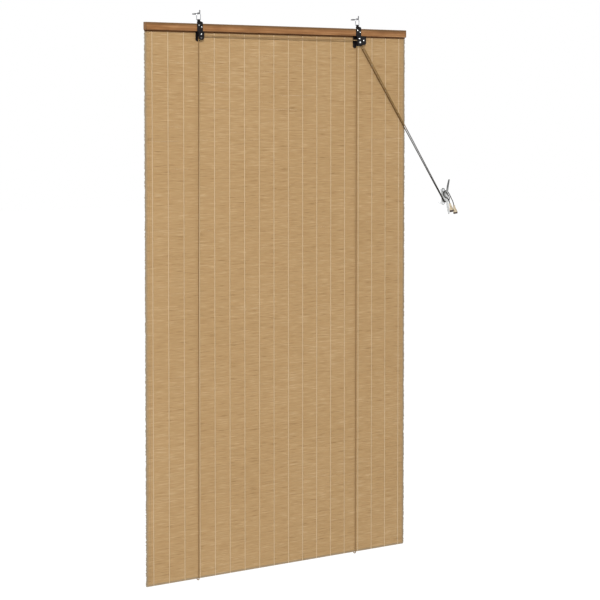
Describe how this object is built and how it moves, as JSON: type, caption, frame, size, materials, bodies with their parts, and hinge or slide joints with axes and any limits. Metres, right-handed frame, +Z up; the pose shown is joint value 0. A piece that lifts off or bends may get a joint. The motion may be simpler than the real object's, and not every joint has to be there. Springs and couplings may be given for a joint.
{
  "type": "bamboo roller blind",
  "caption": "Bamboo reed blind on a stained head rail with two screw hooks, pulley brackets with sheaves, lift cords, pull cords with wooden tassels and a wall cleat.",
  "frame": {"origin": "in the wall's face, midway between the axes of the two wall hooks", "axes": "+X along the rail towards the pull-cord side, +Y into the wall, +Z up; the room is towards -Y"},
  "size_m": [1.2134, 0.0624, 1.6444],
  "materials": {
    "rail_wood": "satin stained wood",
    "bamboo": "matt split bamboo reeds",
    "warp_thread": "twisted cotton thread",
    "slat_wood": "matt wood",
    "staple_steel": "zinc-plated wire",
    "hook_steel": "zinc-plated, slightly dull",
    "ring_nickel": "nickel-plated wire",
    "black_enamel": "black enamel",
    "sheave_brass": "dull turned brass",
    "rivet_steel": "bright steel",
    "nail_steel": "darkened steel",
    "cleat_metal": "grey cast metal, satin",
    "screw_steel": "zinc-plated steel",
    "cord": "twisted cotton cord",
    "tassel_wood": "turned light wood with dark ends"
  },
  "bodies": {
    "blind": {"head_rail": "rail_wood", "bamboo_mat": "bamboo", "warp_threads": "warp_thread", "bottom_slat": "slat_wood", "mat_staples": "staple_steel", "left_wall_hook": "hook_steel", "right_wall_hook": "hook_steel", "left_ring": "ring_nickel", "right_ring": "ring_nickel", "left_front_plate": "black_enamel", "right_front_plate": "black_enamel", "left_rear_plate": "black_enamel", "right_middle_plate": "black_enamel", "right_rear_plate": "black_enamel", "left_rivet": "rivet_steel", "right_rivets": "rivet_steel", "left_axle": "rivet_steel", "front_axle": "rivet_steel", "rear_axle": "rivet_steel", "left_bushes": "rivet_steel", "strap_nails": "nail_steel", "wall_cleat": "cleat_metal", "cleat_screws": "screw_steel", "left_lift_cord": "cord", "right_lift_cord": "cord", "front_pull_cord": "cord", "rear_pull_cord": "cord", "front_tassel": "tassel_wood", "rear_tassel": "tassel_wood", "front_knot": "cord", "rear_knot": "cord"},
    "left_wheel": {"left_sheave": "sheave_brass"},
    "front_wheel": {"front_sheave": "sheave_brass"},
    "rear_wheel": {"rear_sheave": "sheave_brass"}
  },
  "joints": [
    {"name": "left_spin", "type": "hinge", "parent": "blind", "child": "left_wheel", "pos_m": [-0.2985, -0.01595, -0.0683], "axis": [0, 1, 0], "continuous": true},
    {"name": "front_spin", "type": "hinge", "parent": "blind", "child": "front_wheel", "pos_m": [0.3124, -0.01868, -0.0683], "axis": [0, 1, 0], "continuous": true},
    {"name": "rear_spin", "type": "hinge", "parent": "blind", "child": "rear_wheel", "pos_m": [0.3115, -0.01323, -0.075], "axis": [0, 1, 0], "continuous": true}
  ],
  "couplings": [
    {"joint": "front_spin", "follows": "left_spin", "ratio": 1},
    {"joint": "rear_spin", "follows": "left_spin", "ratio": 1}
  ]
}
